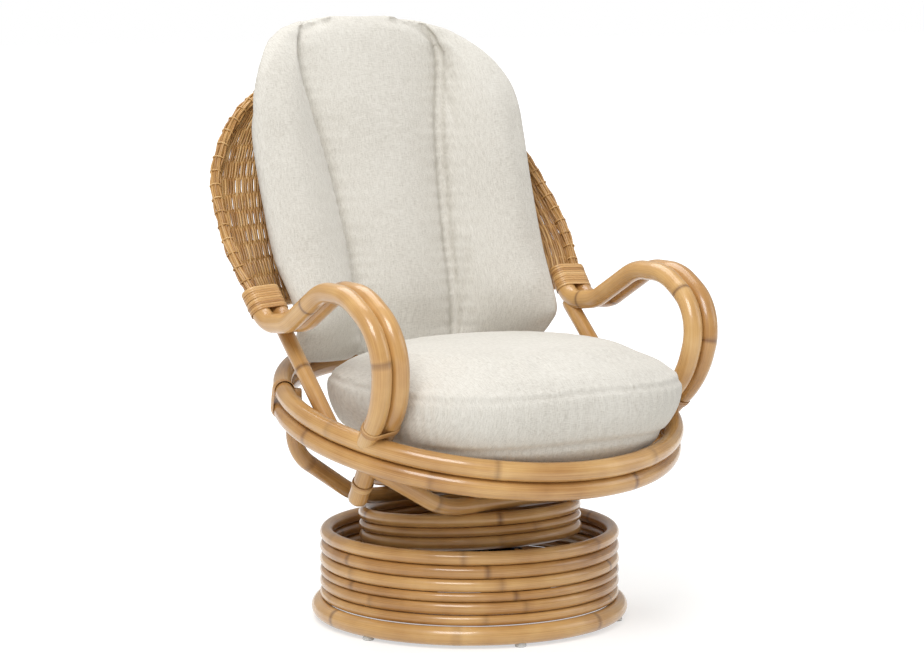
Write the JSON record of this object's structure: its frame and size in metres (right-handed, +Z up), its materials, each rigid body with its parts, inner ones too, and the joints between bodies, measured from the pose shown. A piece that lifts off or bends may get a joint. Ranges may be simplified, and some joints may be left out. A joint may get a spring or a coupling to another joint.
{
  "type": "swivel rocker chair",
  "caption": "Bent-pole rattan armchair with woven back and padded cushions, whose seat swivels and rocks on a round stacked-pole base.",
  "frame": {"origin": "on the swivel axis at floor level", "axes": "+Z up along the swivel axis, the sitter faces -Y, +X towards the sitter's left hand"},
  "size_m": [0.746, 0.7805, 1.058],
  "materials": {
    "rattan_pole": "gloss lacquer",
    "timber": "matt",
    "woven_cane": "satin lacquer",
    "split_cane": "satin lacquer",
    "dark_steel": "satin",
    "bright_steel": "zinc plated",
    "spring_steel": "oiled",
    "clear_glide": "clear",
    "linen": "plain weave"
  },
  "bodies": {
    "base": {"base_foot_ring": "rattan_pole", "base_ring_1": "rattan_pole", "base_ring_2": "rattan_pole", "base_ring_3": "rattan_pole", "base_ring_4": "rattan_pole", "base_ring_5": "rattan_pole", "base_ring_6": "rattan_pole", "floor_glides": "clear_glide", "base_cross": "timber", "swivel_lower_plate": "dark_steel", "swivel_bolts": "bright_steel", "swivel_pin": "bright_steel"},
    "swivel": {"swivel_upper_plate": "dark_steel", "rocker_bracket": "dark_steel", "pivot_shaft": "bright_steel", "front_springs": "spring_steel", "rear_springs": "spring_steel"},
    "seat": {"arm_inner_left": "rattan_pole", "arm_inner_right": "rattan_pole", "arm_outer_left": "rattan_pole", "arm_outer_right": "rattan_pole", "back_cushion": "linen", "back_hoop": "rattan_pole", "back_rail": "rattan_pole", "back_shell": "woven_cane", "back_stile_left": "rattan_pole", "back_stile_right": "rattan_pole", "corner_binding_left": "split_cane", "corner_binding_right": "split_cane", "drum_cross": "timber", "drum_ring_1": "rattan_pole", "drum_ring_2": "rattan_pole", "drum_ring_3": "rattan_pole", "foot_binding_left": "split_cane", "foot_binding_right": "split_cane", "front_bearer": "rattan_pole", "prop_left": "rattan_pole", "prop_right": "rattan_pole", "rear_bearer": "rattan_pole", "ring_binding_left": "split_cane", "ring_binding_right": "split_cane", "rocker_top_frame": "dark_steel", "seat_cushion": "linen", "seat_ring_lower": "rattan_pole", "seat_ring_upper": "rattan_pole", "seat_slats": "rattan_pole", "stub_binding_left": "split_cane", "stub_binding_right": "split_cane"}
  },
  "joints": [
    {"name": "swivel_turn", "type": "hinge", "parent": "base", "child": "swivel", "pos_m": [0, 0, 0], "axis": [0, 0, 1], "continuous": true},
    {"name": "seat_rock", "type": "hinge", "parent": "swivel", "child": "seat", "pos_m": [0, 0, 0.124], "axis": [-1, 0, 0], "range_deg": [-12, 10], "stiffness_Nm_per_rad": 900, "springref_deg": -0.25, "deforming": ["front_springs", "rear_springs"]}
  ]
}
